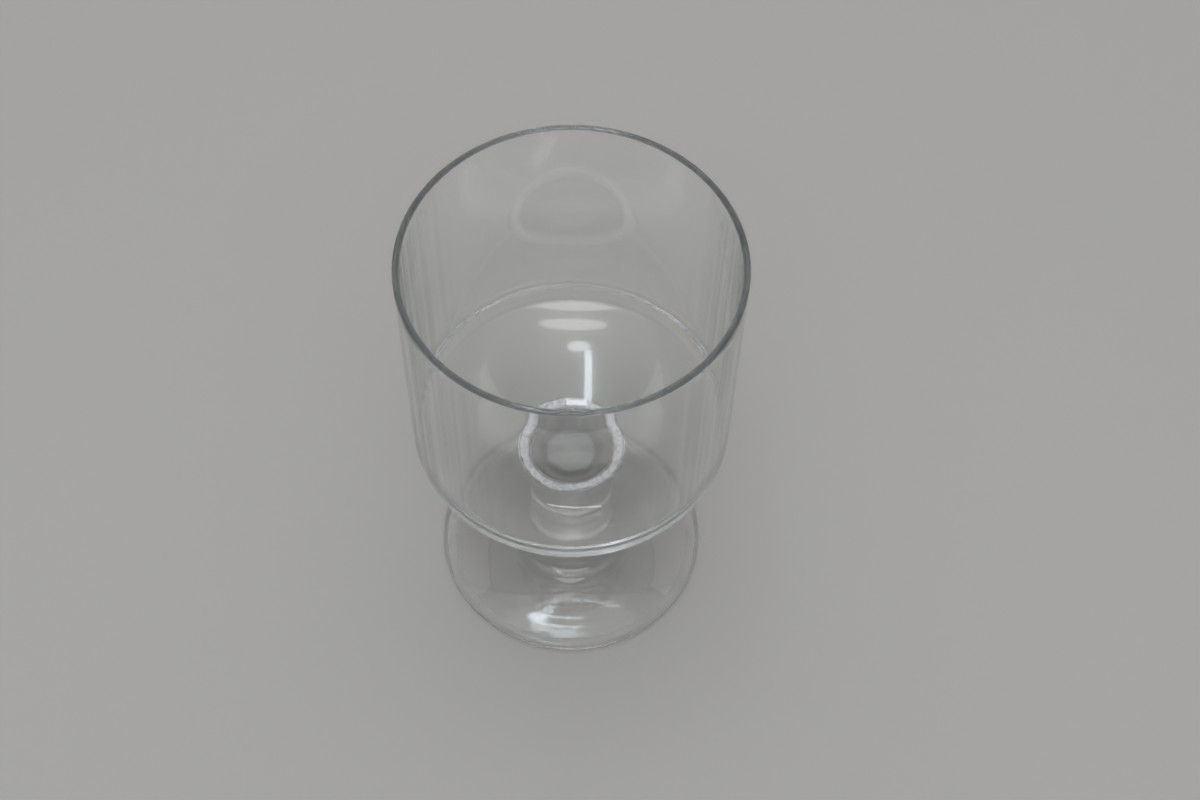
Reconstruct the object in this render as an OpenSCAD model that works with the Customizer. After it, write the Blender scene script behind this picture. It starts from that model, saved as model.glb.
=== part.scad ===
// Stemmed juice glass: a straight-sided bowl fused to a short solid stem on a round foot

/* [Bowl] */
// Height of the whole glass, from the table to the top of the lip
glass_h = 104; // [95:0.5:120]
// Outer radius of the straight wall
bowl_r = 32; // [28:0.5:36]
// Thickness of the wall and of its rounded lip
wall_t = 1.3; // [1:0.1:2]
// Outer radius of the corner where the wall turns in to the floor
corner_r = 4.5; // [2.5:0.5:7]
// Inner radius of that corner
inner_corner_r = 6; // [3:0.5:9]
// Radius of the dished underside
dish_r = 50; // [42:1:70]
// Thickness of the dished floor
floor_t = 2.6; // [2:0.1:4]

/* [Stem] */
// Height of the joint between bowl and stem, at its outer edge
joint_z = 40; // [34:0.5:46]
// Outer radius of that joint
joint_r = 11.4; // [10:0.2:14]
// Radius of the stem at its waist
waist_r = 9.4; // [8:0.2:11]
// Height over which the stem widens to the bowl's joint
flare_h = 5; // [4:0.5:12]
// Inner radius of the fused ring, where the recess in the top of the stem begins
recess_r = 8.8; // [8:0.2:9.6]
// Radius of the flat floor of that recess
recess_floor_r = 4.8; // [2:0.2:6]
// Depth of that floor below the outer edge of the joint
recess_h = 2.3; // [1.8:0.1:3]

/* [Foot] */
// Outer radius of the foot
foot_r = 28.7; // [27.2:0.1:34]
// Thickness of the foot's rounded edge
edge_t = 2; // [1.4:0.1:3]
// Height of the foot at its joint with the stem
hub_z = 6; // [5:0.5:9]
// Radius of the joint between stem and foot
hub_r = 12.5; // [11.5:0.1:15]
// Inner radius of the flat ring that the glass stands on
ring_in_r = 26; // [18:0.5:27]
// Height of the hollow under the middle of the foot
hollow_h = 2.4; // [1:0.1:3.5]

/* [Hidden] */
$fn = 192;
glass_tint = [0.80, 0.85, 0.84, 0.45];
// How far a cut or a blank reaches past the surface that it makes
overrun = 1;

// Radius of the arc that rises by rise over run, and is level where it starts
function arc_radius(run, rise) = (run * run + rise * rise) / (2 * rise);
// Height from an arc's centre to where the arc is side away from the centre's upright
function arc_drop(radius, side) = sqrt(radius * radius - side * side);

// The dish passes through the outer edge of its joint with the stem
dish_z = joint_z + arc_drop(dish_r, joint_r);
lip_z = glass_h - wall_t / 2;

// The recess has a level floor, whose edge curves up to meet the dish at the fused ring
recess_z = joint_z - recess_h;
recess_rim_z = dish_z - arc_drop(dish_r, recess_r);
recess_side_r = arc_radius(recess_r - recess_floor_r, recess_rim_z - recess_z);

// The foot's upper arc is level at the edge and meets the stem's arc at the hub
edge_r = foot_r - edge_t / 2;
cove_r = arc_radius(edge_r - hub_r, hub_z - edge_t);
cove_z = edge_t + cove_r;
hollow_r = arc_radius(ring_in_r, hollow_h);
// The stem's lower arc leaves the foot's arc at the same slope and ends upright at the waist
lower_r = (hub_r - waist_r) * cove_r / (cove_r - edge_r + hub_r);
lower_h = lower_r * (cove_z - hub_z) / cove_r;
// The stem's upper arc starts upright at the waist and ends at the bowl's joint
upper_r = arc_radius(flare_h, joint_r - waist_r);

// Filled half section of a straight-sided cup whose bottom is a dish with rounded corners
module cup_section(side_r, turn_r, bottom_r, top_z) {
    turn_z = dish_z - arc_drop(bottom_r - turn_r, side_r - turn_r);
    meet_r = (side_r - turn_r) * bottom_r / (bottom_r - turn_r);
    translate([0, turn_z]) square([side_r, top_z - turn_z]);
    translate([side_r - turn_r, turn_z]) circle(r = turn_r);
    intersection() {
        translate([0, dish_z]) circle(r = bottom_r);
        translate([0, dish_z - bottom_r]) square([meet_r, turn_z - dish_z + bottom_r]);
    }
}

// Half section of the solid stem: upright at the waist, with a round spread at each end
module stem_section() {
    flare_z = joint_z - flare_h;
    top_z = joint_z + overrun;
    difference() {
        union() {
            translate([0, hub_z]) square([waist_r, top_z - hub_z]);
            translate([0, hub_z]) square([waist_r + lower_r, lower_h]);
            translate([0, flare_z]) square([waist_r + upper_r, top_z - flare_z]);
        }
        translate([waist_r + lower_r, hub_z + lower_h]) circle(r = lower_r);
        translate([waist_r + upper_r, flare_z]) circle(r = upper_r);
    }
}

// Blown bowl: thin upright wall with a rounded lip, a tight corner and a dished floor
module bowl() {
    color(glass_tint) rotate_extrude() {
        difference() {
            cup_section(bowl_r, corner_r, dish_r, lip_z);
            cup_section(bowl_r - wall_t, inner_corner_r, dish_r - floor_t, glass_h + overrun);
        }
        translate([bowl_r - wall_t / 2, lip_z]) circle(r = wall_t / 2);
    }
}

// Stem: solid, spread to the bowl above and the foot below, with a recess inside the fused ring
module stem() {
    color(glass_tint) rotate_extrude() difference() {
        stem_section();
        translate([0, dish_z]) circle(r = dish_r);
        translate([0, recess_z]) square([recess_floor_r, recess_h]);
        translate([recess_floor_r, recess_z + recess_side_r]) circle(r = recess_side_r);
    }
}

// Foot: a disc with a rounded edge that rises in a cove to the stem, hollowed underneath
module foot() {
    color(glass_tint) rotate_extrude() difference() {
        union() {
            difference() {
                square([edge_r, hub_z]);
                translate([edge_r, cove_z]) circle(r = cove_r);
            }
            translate([edge_r, edge_t / 2]) circle(r = edge_t / 2);
        }
        translate([0, hollow_h - hollow_r]) circle(r = hollow_r);
    }
}

bowl();
stem();
foot();
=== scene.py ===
"""Stemmed juice glass: clear glass pieces, fused where they meet, on a plain pale floor."""
import math

import bpy
from mathutils import Matrix, Vector


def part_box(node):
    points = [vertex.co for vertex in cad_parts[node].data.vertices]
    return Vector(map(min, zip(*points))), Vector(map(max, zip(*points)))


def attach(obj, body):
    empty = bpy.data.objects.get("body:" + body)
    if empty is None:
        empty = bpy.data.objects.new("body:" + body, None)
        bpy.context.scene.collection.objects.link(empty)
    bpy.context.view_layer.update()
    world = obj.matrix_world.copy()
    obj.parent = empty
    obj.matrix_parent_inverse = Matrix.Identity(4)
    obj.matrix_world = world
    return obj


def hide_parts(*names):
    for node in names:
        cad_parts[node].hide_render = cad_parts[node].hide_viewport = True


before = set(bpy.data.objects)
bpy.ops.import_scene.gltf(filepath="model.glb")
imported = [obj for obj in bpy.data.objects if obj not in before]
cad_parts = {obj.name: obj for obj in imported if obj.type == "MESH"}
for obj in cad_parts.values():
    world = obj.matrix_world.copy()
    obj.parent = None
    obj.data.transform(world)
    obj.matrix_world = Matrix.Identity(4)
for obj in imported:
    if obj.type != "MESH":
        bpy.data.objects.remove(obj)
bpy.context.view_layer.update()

MM = 0.001
WHITE = (1, 1, 1)

# Sizes that the frame gives
BOWL_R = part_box("bowl")[1][0]
GLASS_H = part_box("bowl")[1][2]
FOOT_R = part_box("foot")[1][0]
HUB_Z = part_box("stem")[0][2]
JOINT_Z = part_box("stem")[1][2]

# Sizes of the bowl that a box can't give
WALL_T = 1.3 * MM
CORNER_R = 4.5 * MM
INNER_CORNER_R = 6 * MM
DISH_R = 50 * MM
FLOOR_T = 2.6 * MM

# Sizes of the stem
JOINT_R = 11.4 * MM
WAIST_R = 9.4 * MM
FLARE_H = 5 * MM
RECESS_R = 8.8 * MM
RECESS_FLOOR_R = 4.8 * MM
RECESS_H = 2.3 * MM

# Sizes of the foot
EDGE_T = 2 * MM
HUB_R = 12.5 * MM
RING_IN_R = 26 * MM
HOLLOW_H = 2.4 * MM

# How finely the outlines are drawn and turned
TURNS = 288
ARC_STEP = math.radians(3)
FEWEST_ARC_STEPS = 3
LONGEST_STEP = 4 * MM
SHARP_ANGLE = math.radians(35)

# What a stretch of an outline is: bare skin, a face fused to the next piece with or without a
# mottled seam, or skin that the tool left slightly frosted. The names are the mesh's attributes.
SKIN, FUSED, SEAM, FROSTED = "skin", "fused", "seam", "frosted"
# Where two pieces are fused, the stem's face stands back by this much, so that no two faces coincide
JOINT_GAP = 0.02 * MM

# Glass of every piece: how it bends light, what it takes up in its depth, and the share of the light
# to and from matt surfaces that goes straight on
GLASS_IOR = 1.5
DEPTH_COLOR = (0.877, 0.88, 0.88)
PASSING_SHARE = 0.5
# Detail of the noise that its ripples and streaks are made of
NOISE_DETAIL = 2

# Streaks that drawing leaves in the bowl's wall: the scale of their noise along each axis, their
# depth, and the heights between which they come in
STREAK_SCALES = (300, 300, 6)
STREAK_DEPTH = 0.012 * MM
STREAK_HEIGHTS = (JOINT_Z + 14 * MM, JOINT_Z + 24 * MM)

# Painted shade in streaks where the same wall is seen edge-on: the scale of its noise along each axis,
# the painted colours at the lows and highs of the noise, how far a face is turned away, and the heights
# between which it comes in
EDGE_SHADE_SCALES = (700, 700, 9)
EDGE_SHADE_COLORS = ((0.38, (0.20, 0.23, 0.22)), (0.62, (0.72, 0.75, 0.735)))
EDGE_SHADE_BLEND = 0.5
EDGE_SHADE_TURN = (0.55, 0.95)
EDGE_SHADE_HEIGHTS = (GLASS_H - 1.5 * MM, GLASS_H - 3 * MM)

# Grey-green tint of the dish's thick glass, with painted shade that darkens the view through the
# dish's underside towards its middle, and the radii between which it comes in
DISH_TINT_AND_SHADE_COLOR = (0.70, 0.75, 0.725)
DISH_TINT_AND_SHADE_RADII = (28 * MM, 12 * MM)

# Painted shade and painted refracted light in the stem's recess, as grey, dark and brownish rings round
# a paler middle: each colour with its share of the way from the axis to the fused ring
RECESS_SHADE_RINGS = (
    (0.0, (0.92, 0.94, 0.92)),
    (0.20, (0.88, 0.90, 0.88)),
    (0.34, (0.72, 0.74, 0.72)),
    (0.54, (0.66, 0.67, 0.66)),
    (0.60, (0.08, 0.08, 0.08)),
    (0.71, (0.13, 0.12, 0.11)),
    (0.82, (0.66, 0.61, 0.56)),
    (0.93, (0.50, 0.46, 0.43)),
    (1.0, (0.16, 0.16, 0.16)),
)

# Bubbles and folds in the seam, and how much of it they cover at the lows and highs of the noise
BUBBLE_COLOR = (0.83, 0.85, 0.88)
BUBBLE_ROUGHNESS = 0.25
BUBBLE_SCALE = 1200
BUBBLE_DETAIL = 3
BUBBLE_COVER = ((0.25, (0.5, 0.5, 0.5)), (0.60, WHITE))
# The band that they fill: the radii between which it comes in and goes out, and the scale and the
# width of the noise that pushes both inwards
BAND_START = (9.8 * MM, 10.7 * MM)
BAND_END = (12.3 * MM, 11.7 * MM)
UNEVEN_SCALE = 170
UNEVEN_WIDTH = 1.8 * MM

# Floor, its size in metres, a hair below the standing ring so that their faces don't coincide
FLOOR_SIZE = 3
FLOOR_GAP = 0.1 * MM
FLOOR_COLOR = (0.43, 0.42, 0.405)
FLOOR_ROUGHNESS = 0.8

# World, by the upward part of a direction: the grey of the walls and the ceiling, and where the
# pale low wall ends. By its sideways part: where the dark flags start and where they are darkest, and
# how strong the world is at both.
WORLD_GREYS = ((0.0, 0.27), (0.50, 0.27), (0.72, 0.14), (0.86, 0.30), (0.94, 0.60))
LOW_WALL_COLOR = (0.39, 0.388, 0.382)
LOW_WALL_END = (0.20, 0.34)
FLAG_REACH = (0.12, 0.5)
FLAG_STRENGTHS = (1, 0.04)

# Lamps, all turned to one point in the glass: name, place and size in metres, power in watts, colour
# and shape
LAMP_TARGET = (0, 0, 0.05)
LAMPS = (
    ("strip", (-0.20, -0.07, 1.55), (0.09, 0.66), 1.5, (0.82, 0.92, 1), "RECTANGLE"),
    ("hook", (-0.07, 0.28, 1.55), (0.24, 0.07), 0.42, (0.86, 0.93, 1), "RECTANGLE"),
    ("cap", (-0.08, -0.46, 1.55), (0.30, 0.14), 0.5, (0.86, 0.93, 1), "ELLIPSE"),
    ("ahead", (-0.08, 1.87, 0.77), (0.52, 0.03), 1.2, (1, 0.97, 0.92), "RECTANGLE"),
    ("back", (0, -1.25, 1.6), (1.8, 0.34), 4, (0.95, 0.97, 1), "ELLIPSE"),
    ("high", (0, -0.86, 1.7), (1.1, 0.18), 1.4, (0.95, 0.97, 1), "ELLIPSE"),
    ("fill", (0, 0.01, 4.5), (8, 8), 200, WHITE, "RECTANGLE"),
)

# The photograph's camera, solved from the rim's ellipse and the wall's outlines: sensor and lens in
# millimetres, its place in metres, and which way the picture's right, up and ahead are
SENSOR_W = 36
LENS = 54.9
CAMERA_PLACE = Vector((0.0057, -0.1930, GLASS_H + 0.2634))
CAMERA_RIGHT = Vector((0.99966, 0.02222, 0.01385))
CAMERA_UP = Vector((-0.02618, 0.84840, 0.52870))
CAMERA_AHEAD = Vector((0, 0.52888, -0.84870))

# How often light may be bent or mirrored before it comes out of the glass, and how often it may pass
# a face that shows nothing
BOUNCES = 128
CLEAR_BOUNCES = 24


def arc_radius(run, rise):
    """Radius of the arc that rises by rise over run, and is level where it starts."""
    return (run * run + rise * rise) / (2 * rise)


def arc_drop(radius, side):
    """Height from an arc's centre to where the arc is side away from the centre's upright."""
    return math.sqrt(radius * radius - side * side)


# The dish passes through the outer edge of its joint with the stem
DISH_Z = JOINT_Z + arc_drop(DISH_R, JOINT_R)

# The foot's upper arc is level at the edge and meets the stem's arc at the hub
EDGE_R = FOOT_R - EDGE_T / 2
COVE_R = arc_radius(EDGE_R - HUB_R, HUB_Z - EDGE_T)
COVE_Z = EDGE_T + COVE_R


class Outline:
    """Half section of a turned piece, walked from the axis round to the axis again."""

    def __init__(self, radius, height):
        self.points = [(radius, height)]
        self.kinds = []

    def step(self, radius, height, kind):
        """Adds the next point, and says what kind of stretch leads to it."""
        self.points.append((radius, height))
        self.kinds.append(kind)

    def line(self, radius, height, kind=SKIN):
        """Goes straight to a point, in steps so that long walls have rings to shade well."""
        r0, z0 = self.points[-1]
        count = max(1, math.ceil(math.dist((r0, z0), (radius, height)) / LONGEST_STEP))
        for number in range(1, count + 1):
            share = number / count
            self.step(r0 + (radius - r0) * share, z0 + (height - z0) * share, kind)

    def arc(self, centre, radius, height, kind=SKIN):
        """Goes to a point round a centre, the short way."""
        r0, z0 = self.points[-1]
        start = math.atan2(z0 - centre[1], r0 - centre[0])
        end = math.atan2(height - centre[1], radius - centre[0])
        sweep = (end - start + math.pi) % math.tau - math.pi
        reach = math.dist((r0, z0), centre)
        by_angle = math.ceil(abs(sweep) / ARC_STEP)
        by_length = math.ceil(abs(sweep) * reach / LONGEST_STEP)
        count = max(FEWEST_ARC_STEPS, by_angle, by_length)
        for number in range(1, count):
            angle = start + sweep * number / count
            self.step(centre[0] + reach * math.cos(angle), centre[1] + reach * math.sin(angle), kind)
        self.step(radius, height, kind)

    def dish(self, bottom_r, radius, kind=SKIN):
        """Follows the dish of the given radius out, or in, to a radius."""
        self.arc((0, DISH_Z), radius, DISH_Z - arc_drop(bottom_r, radius), kind)


def corner(side_r, turn_r, bottom_r):
    """Centre of the arc that turns a wall in to a dish, and the radius at which it meets the dish."""
    centre = (side_r - turn_r, DISH_Z - arc_drop(bottom_r - turn_r, side_r - turn_r))
    return centre, (side_r - turn_r) * bottom_r / (bottom_r - turn_r)


def bowl_outline():
    """Underside of the dish, corner, wall, lip, and back down the inside."""
    turn, meet_r = corner(BOWL_R, CORNER_R, DISH_R)
    inner_r = BOWL_R - WALL_T
    inner_dish_r = DISH_R - FLOOR_T
    inner_turn, inner_meet_r = corner(inner_r, INNER_CORNER_R, inner_dish_r)
    lip = (BOWL_R - WALL_T / 2, GLASS_H - WALL_T / 2)

    outline = Outline(0, DISH_Z - DISH_R)
    outline.dish(DISH_R, RECESS_R, FROSTED)
    outline.dish(DISH_R, JOINT_R, SEAM)
    outline.dish(DISH_R, meet_r, FROSTED)
    outline.arc(turn, BOWL_R, turn[1])
    outline.line(BOWL_R, lip[1])
    outline.arc(lip, lip[0], GLASS_H)
    outline.arc(lip, inner_r, lip[1])
    outline.line(inner_r, inner_turn[1])
    outline.arc(inner_turn, inner_meet_r, DISH_Z - arc_drop(inner_dish_r, inner_meet_r))
    outline.dish(inner_dish_r, 0)
    return outline


def stem_outline():
    """Face on the foot, lower spread, waist, upper spread, fused ring and recess."""
    # The lower arc leaves the foot's arc at the same slope and ends upright at the waist
    lower_r = (HUB_R - WAIST_R) * COVE_R / (COVE_R - EDGE_R + HUB_R)
    waist_z = HUB_Z + lower_r * (COVE_Z - HUB_Z) / COVE_R
    # The upper arc starts upright at the waist and ends at the bowl's joint
    flare_z = JOINT_Z - FLARE_H
    upper_r = arc_radius(FLARE_H, JOINT_R - WAIST_R)
    # The recess has a level floor, whose edge curves up to meet the fused ring
    seat_r = DISH_R + JOINT_GAP
    recess_z = JOINT_Z - RECESS_H
    recess_rim_z = DISH_Z - arc_drop(seat_r, RECESS_R)
    recess_side_r = arc_radius(RECESS_R - RECESS_FLOOR_R, recess_rim_z - recess_z)

    outline = Outline(0, HUB_Z + JOINT_GAP)
    outline.line(HUB_R, HUB_Z + JOINT_GAP, FUSED)
    outline.arc((WAIST_R + lower_r, waist_z), WAIST_R, waist_z)
    outline.line(WAIST_R, flare_z)
    outline.arc((WAIST_R + upper_r, flare_z), JOINT_R, DISH_Z - arc_drop(seat_r, JOINT_R))
    outline.dish(seat_r, RECESS_R, FUSED)
    outline.arc((RECESS_FLOOR_R, recess_z + recess_side_r), RECESS_FLOOR_R, recess_z, FROSTED)
    outline.line(0, recess_z, FROSTED)
    return outline


def foot_outline():
    """Hollow underneath, standing ring, rounded edge, cove and face under the stem."""
    hollow_r = arc_radius(RING_IN_R, HOLLOW_H)
    edge = (EDGE_R, EDGE_T / 2)

    outline = Outline(0, HOLLOW_H)
    outline.arc((0, HOLLOW_H - hollow_r), RING_IN_R, 0)
    outline.line(EDGE_R, 0, FROSTED)
    outline.arc(edge, FOOT_R, edge[1])
    outline.arc(edge, EDGE_R, EDGE_T)
    outline.arc((EDGE_R, COVE_Z), HUB_R, HUB_Z)
    outline.line(0, HUB_Z, FUSED)
    return outline


def add_object(name, data):
    """Object in the scene's own collection."""
    thing = bpy.data.objects.new(name, data)
    bpy.context.scene.collection.objects.link(thing)
    return thing


def lathe(outline, name, material):
    """Turns an outline round +Z into a closed mesh, whose attributes mark each kind of stretch."""
    verts, rings = [], []
    for radius, height in outline.points:
        start = len(verts)
        count = TURNS if radius > 0 else 1
        rings.append([start + turn % count for turn in range(TURNS)])
        for turn in range(count):
            angle = math.tau * turn / TURNS
            verts.append((radius * math.cos(angle), radius * math.sin(angle), height))
    faces, kinds = [], []
    for lower, upper, kind in zip(rings, rings[1:], outline.kinds):
        for turn in range(TURNS):
            after = (turn + 1) % TURNS
            corners = (lower[turn], lower[after], upper[after], upper[turn])
            # At the axis two corners are one, and the face is a triangle
            faces.append(tuple(dict.fromkeys(corners)))
            kinds.append(kind)
    mesh = bpy.data.meshes.new(name)
    mesh.from_pydata(verts, [], faces)
    mesh.materials.append(material)
    for kind in (FUSED, SEAM, FROSTED):
        marks = mesh.attributes.new(kind, "FLOAT", "FACE")
        marks.data.foreach_set("value", [float(face_kind == kind) for face_kind in kinds])
    mesh.shade_smooth()
    mesh.set_sharp_from_angle(angle=SHARP_ANGLE)
    return add_object(name, mesh)


class Tree:
    """Node tree of a material or of the world, with one short call for each use of a node."""

    # Sockets of a Mix node that mixes colours, which share their names with those for numbers
    MIX_SHARE, MIX_FIRST, MIX_SECOND, MIX_RESULT = 0, 6, 7, 2

    def __init__(self, owner):
        owner.use_nodes = True
        self.nodes = owner.node_tree.nodes
        self.links = owner.node_tree.links

    def fill(self, node, values):
        """Fills sockets of a node, each with an output to link, a number, a vector or a colour."""
        for key, value in values.items():
            socket = node.inputs[key]
            if isinstance(value, bpy.types.NodeSocket):
                self.links.new(value, socket)
            elif socket.type == "RGBA":
                socket.default_value = (*value, 1)
            else:
                socket.default_value = value

    def add(self, kind, values, **settings):
        """Adds a node with its settings, and fills its sockets."""
        node = self.nodes.new(f"ShaderNode{kind}")
        for setting, value in settings.items():
            setattr(node, setting, value)
        self.fill(node, values)
        return node

    def calculate(self, operation, *values):
        """Result of an operation on one or two values."""
        return self.add("Math", dict(enumerate(values)), operation=operation).outputs["Value"]

    def place(self):
        """Place of a point in the glass's own frame."""
        return self.add("TexCoord", {}).outputs["Object"]

    def height(self):
        """Height of a point above the table."""
        return self.add("SeparateXYZ", {"Vector": self.place()}).outputs["Z"]

    def radius(self):
        """Distance of a point from the glass's axis."""
        flat = self.add("VectorMath", {0: self.place(), 1: (1, 1, 0)}, operation="MULTIPLY")
        return self.add("VectorMath", {0: flat.outputs["Vector"]}, operation="LENGTH").outputs["Value"]

    def mark(self, kind):
        """Is 1 where the outline was of that kind, and 0 elsewhere."""
        return self.add("Attribute", {}, attribute_name=kind).outputs["Fac"]

    def noise(self, scales):
        """Noise with a scale of its own along each axis of the glass."""
        scaled = self.add("Mapping", {"Vector": self.place(), "Scale": scales}).outputs["Vector"]
        return self.add("TexNoise", {"Vector": scaled, "Scale": 1, "Detail": NOISE_DETAIL}).outputs["Fac"]

    def span(self, value, start, end, interpolation="SMOOTHSTEP"):
        """Goes from 0 at start to 1 at end."""
        values = {"Value": value, "From Min": start, "From Max": end}
        return self.add("MapRange", values, interpolation_type=interpolation).outputs["Result"]

    def ramp(self, value, stops):
        """Colour for a value, from stops that are each a value and its colour."""
        node = self.add("ValToRGB", {"Fac": value})
        elements = node.color_ramp.elements
        # A new element starts in the middle, and is put in its place below
        while len(elements) < len(stops):
            elements.new(0.5)
        for element, (position, color) in zip(elements, stops):
            element.position = position
            element.color = (*color, 1)
        return node.outputs["Color"]

    def mix_colors(self, share, first, second):
        """Goes from the first colour to the second by a share."""
        values = {self.MIX_SHARE: share, self.MIX_FIRST: first, self.MIX_SECOND: second}
        return self.add("Mix", values, data_type="RGBA").outputs[self.MIX_RESULT]

    def mix_shaders(self, share, first, second):
        """Goes from the first shader to the second by a share."""
        return self.add("MixShader", {0: share, 1: first, 2: second}).outputs["Shader"]

    def add_bump(self, shader, height, depth):
        """Bump of a depth for a height, laid on the bump that the shader already has."""
        bump = self.add("Bump", {"Height": height, "Strength": 1, "Distance": depth})
        for link in shader.inputs["Normal"].links:
            self.fill(bump, {"Normal": link.from_socket})
        self.fill(shader, {"Normal": bump.outputs["Normal"]})


def glass_material(name, ripple_scales, ripple_depth, density, frost):
    """Clear soda-lime glass with faint ripples and a grey-green trace, as rough as frost where frosted."""
    material = bpy.data.materials.new(name)
    tree = Tree(material)
    shader = tree.nodes["Principled BSDF"]
    tree.fill(shader, {"Base Color": WHITE, "IOR": GLASS_IOR, "Transmission Weight": 1})
    tree.fill(shader, {"Roughness": tree.calculate("MULTIPLY", tree.mark(FROSTED), frost)})
    tree.add_bump(shader, tree.noise(ripple_scales), ripple_depth)
    depth = tree.add("VolumeAbsorption", {"Color": DEPTH_COLOR, "Density": density})

    # A fused face shows nothing, a seam shows its bubbles, and the rest is glass
    clear = tree.add("BsdfTransparent", {}).outputs["BSDF"]
    surface = tree.mix_shaders(passing_share(tree), shader.outputs["BSDF"], clear)
    surface = tree.mix_shaders(tree.mark(FUSED), surface, clear)
    seam = tree.mix_shaders(seam_cover(tree), clear, bubble_shader(tree))
    surface = tree.mix_shaders(tree.mark(SEAM), surface, seam)
    tree.fill(tree.nodes["Material Output"], {"Surface": surface, "Volume": depth.outputs["Volume"]})
    return material


def passing_share(tree):
    """Share of the light to and from matt surfaces that goes straight on, so the shadow is faint."""
    rays = tree.add("LightPath", {}).outputs
    either = tree.calculate("MAXIMUM", rays["Is Shadow Ray"], rays["Is Diffuse Ray"])
    return tree.calculate("MULTIPLY", either, PASSING_SHARE)


def bubble_shader(tree):
    """Bright pale skin of the bubbles and folds in a seam."""
    values = {"Base Color": BUBBLE_COLOR, "Roughness": BUBBLE_ROUGHNESS}
    return tree.add("BsdfPrincipled", values).outputs["BSDF"]


def seam_cover(tree):
    """How much of the seam its bubbles cover: a mottled band with uneven edges."""
    place = tree.place()
    fine = tree.add("TexNoise", {"Vector": place, "Scale": BUBBLE_SCALE, "Detail": BUBBLE_DETAIL})
    uneven = tree.add("TexNoise", {"Vector": place, "Scale": UNEVEN_SCALE})
    shift = tree.calculate("MULTIPLY", uneven.outputs["Fac"], UNEVEN_WIDTH)
    reach = tree.calculate("ADD", tree.radius(), shift)
    band = tree.calculate("MULTIPLY", tree.span(reach, *BAND_START), tree.span(reach, *BAND_END))
    return tree.calculate("MULTIPLY", tree.ramp(fine.outputs["Fac"], BUBBLE_COVER), band)


def add_drawn_streaks(material):
    """Fine upright streaks that drawing leaves in the bowl's wall, fading out towards its floor."""
    tree = Tree(material)
    fade = tree.span(tree.height(), *STREAK_HEIGHTS, interpolation="LINEAR")
    streaks = tree.calculate("MULTIPLY", tree.noise(STREAK_SCALES), fade)
    tree.add_bump(tree.nodes["Principled BSDF"], streaks, STREAK_DEPTH)


def tint_and_shade_bowl(material):
    """Grey-green tint and painted shade in the dish, and painted shade in fine grey-green streaks where
    the wall is seen edge-on.
    """
    tree = Tree(material)
    inward = tree.span(tree.radius(), *DISH_TINT_AND_SHADE_RADII)
    # Painted shade and tint: the dish's frosted underside turns darker grey-green towards its middle
    dish_tint_and_shade = tree.mix_colors(tree.calculate("MULTIPLY", tree.mark(FROSTED), inward), WHITE, DISH_TINT_AND_SHADE_COLOR)
    facing = tree.add("LayerWeight", {"Blend": EDGE_SHADE_BLEND}).outputs["Facing"]
    turned = tree.span(facing, *EDGE_SHADE_TURN, interpolation="LINEAR")
    below_lip = tree.span(tree.height(), *EDGE_SHADE_HEIGHTS, interpolation="LINEAR")
    # Painted shade: dark grey-green streaks laid on the wall where it is seen edge-on
    edge_shade = tree.ramp(tree.noise(EDGE_SHADE_SCALES), EDGE_SHADE_COLORS)
    color = tree.mix_colors(tree.calculate("MULTIPLY", turned, below_lip), dish_tint_and_shade, edge_shade)
    tree.fill(tree.nodes["Principled BSDF"], {"Base Color": color})


def paint_recess_shade_rings(material):
    """Painted shade and painted refracted light as grey, dark and brownish rings in the stem's recess,
    round its paler middle.
    """
    tree = Tree(material)
    way_out = tree.span(tree.radius(), 0, RECESS_R, interpolation="LINEAR")
    # Painted shade and refracted light: the recess's frosted faces take the colours of the rings
    color = tree.mix_colors(tree.mark(FROSTED), WHITE, tree.ramp(way_out, RECESS_SHADE_RINGS))
    tree.fill(tree.nodes["Principled BSDF"], {"Base Color": color})


def floor_material():
    """Plain pale matt floor."""
    material = bpy.data.materials.new("floor")
    tree = Tree(material)
    values = {"Base Color": FLOOR_COLOR, "Roughness": FLOOR_ROUGHNESS}
    tree.fill(tree.nodes["Principled BSDF"], values)
    return material


def make_floor():
    """A wide floor under the glass."""
    half = FLOOR_SIZE / 2
    mesh = bpy.data.meshes.new("floor")
    corners = [(x * half, y * half, -FLOOR_GAP) for x, y in ((-1, -1), (1, -1), (1, 1), (-1, 1))]
    mesh.from_pydata(corners, [], [(0, 1, 2, 3)])
    mesh.materials.append(floor_material())
    floor = add_object("floor", mesh)


def make_world():
    """A pale low wall all round, and above it grey walls, dark flags at the sides and a bright ceiling."""
    world = bpy.data.worlds.new("studio")
    bpy.context.scene.world = world
    tree = Tree(world)
    direction = tree.add("TexCoord", {}).outputs["Generated"]
    parts = tree.add("SeparateXYZ", {"Vector": direction}).outputs
    flags = {"Value": tree.calculate("ABSOLUTE", parts["X"])}
    flags.update(zip(("From Min", "From Max"), FLAG_REACH))
    flags.update(zip(("To Min", "To Max"), FLAG_STRENGTHS))
    greys = [(position, (grey, grey, grey)) for position, grey in WORLD_GREYS]
    studio = tree.nodes["Background"]
    tree.fill(studio, {"Color": tree.ramp(parts["Z"], greys)})
    tree.fill(studio, {"Strength": tree.add("MapRange", flags).outputs["Result"]})
    low_wall = tree.add("Background", {"Color": LOW_WALL_COLOR})
    above = tree.span(parts["Z"], *LOW_WALL_END)
    light = tree.mix_shaders(above, low_wall.outputs["Background"], studio.outputs["Background"])
    tree.fill(tree.nodes["World Output"], {"Surface": light})


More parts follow.
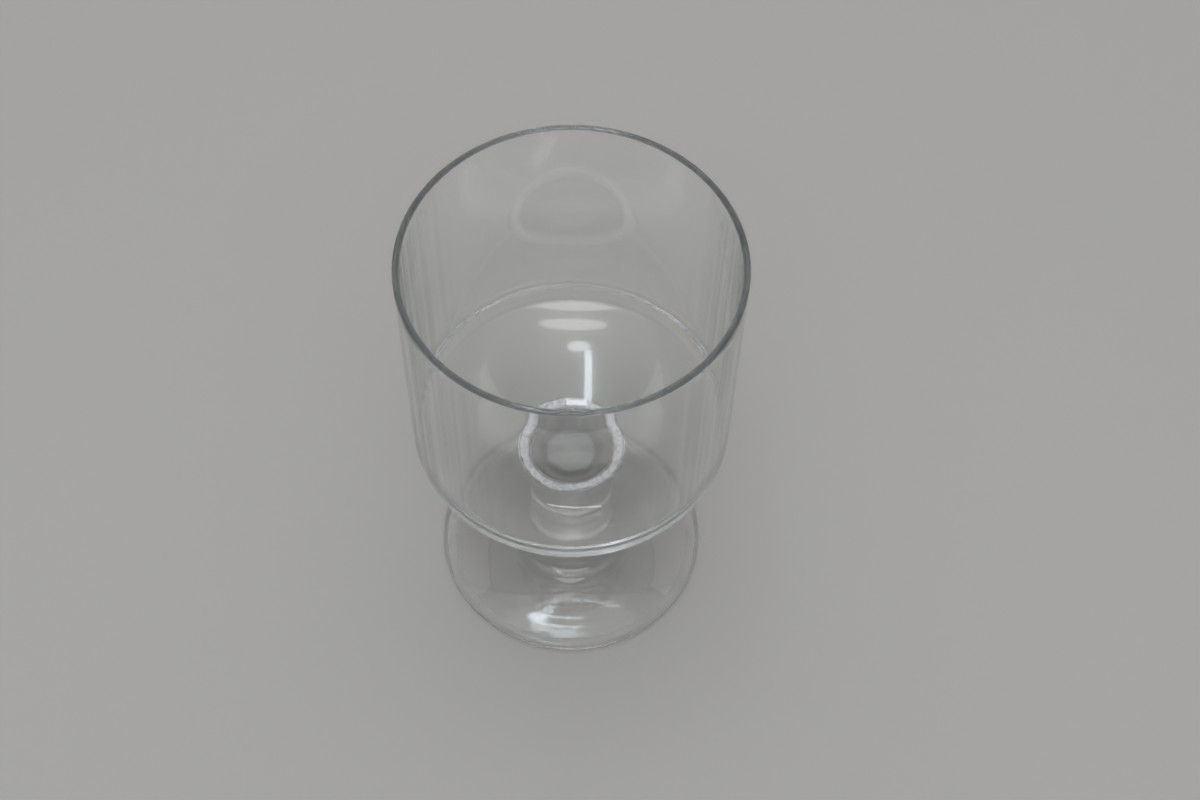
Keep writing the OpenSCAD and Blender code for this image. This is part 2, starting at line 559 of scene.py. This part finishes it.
def soft_light(name, place, size, power, color, shape):
    """Flat lamp turned to the target, its second side as near to +Y as it goes."""
    light = bpy.data.lights.new(name, "AREA")
    light.shape = shape
    light.size, light.size_y = size
    light.energy = power
    light.color = color
    back = (Vector(place) - Vector(LAMP_TARGET)).normalized()
    side = Vector((0, 1, 0)).cross(back).normalized()
    turn = Matrix((side, back.cross(side), back)).transposed()
    lamp = add_object(name, light)
    lamp.matrix_world = Matrix.Translation(place) @ turn.to_4x4()
    lamp.visible_camera = False
    return lamp


def make_lamps():
    """All the lamps. The fill lights the floor, and leaves no mirror image in the glass."""
    lamps = {values[0]: soft_light(*values) for values in LAMPS}
    lamps["fill"].visible_glossy = False


def make_camera():
    """The photograph's viewpoint."""
    camera = bpy.data.cameras.new("camera")
    camera.sensor_width = SENSOR_W
    camera.lens = LENS
    turn = Matrix((CAMERA_RIGHT, CAMERA_UP, -CAMERA_AHEAD)).transposed()
    holder = add_object("camera", camera)
    holder.matrix_world = Matrix.Translation(CAMERA_PLACE) @ turn.to_4x4()
    bpy.context.scene.camera = holder


def make_glass():
    """Bowl, stem and foot, each in place of the solid of its name."""
    bowl_glass = glass_material(
        "bowl_clear_glass", ripple_scales=(90, 90, 12), ripple_depth=0.01 * MM, density=90, frost=0.13)
    stem_glass = glass_material(
        "stem_clear_glass", ripple_scales=(120, 120, 40), ripple_depth=0.01 * MM, density=30, frost=0.2)
    foot_glass = glass_material(
        "foot_clear_glass", ripple_scales=(130, 130, 130), ripple_depth=0.05 * MM, density=30, frost=0.3)
    add_drawn_streaks(bowl_glass)
    tint_and_shade_bowl(bowl_glass)
    paint_recess_shade_rings(stem_glass)
    pieces = (
        ("bowl", bowl_outline(), bowl_glass),
        ("stem", stem_outline(), stem_glass),
        ("foot", foot_outline(), foot_glass),
    )
    for node, outline, glass in pieces:
        piece = lathe(outline, f"{node}_clear", glass)
        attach(piece, "root")
        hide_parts(node)


make_camera()
make_glass()
make_floor()
make_world()
make_lamps()

scene = bpy.context.scene
scene.view_settings.view_transform = "Standard"
scene.cycles.max_bounces = BOUNCES
scene.cycles.transmission_bounces = BOUNCES
scene.cycles.glossy_bounces = BOUNCES
scene.cycles.transparent_max_bounces = CLEAR_BOUNCES
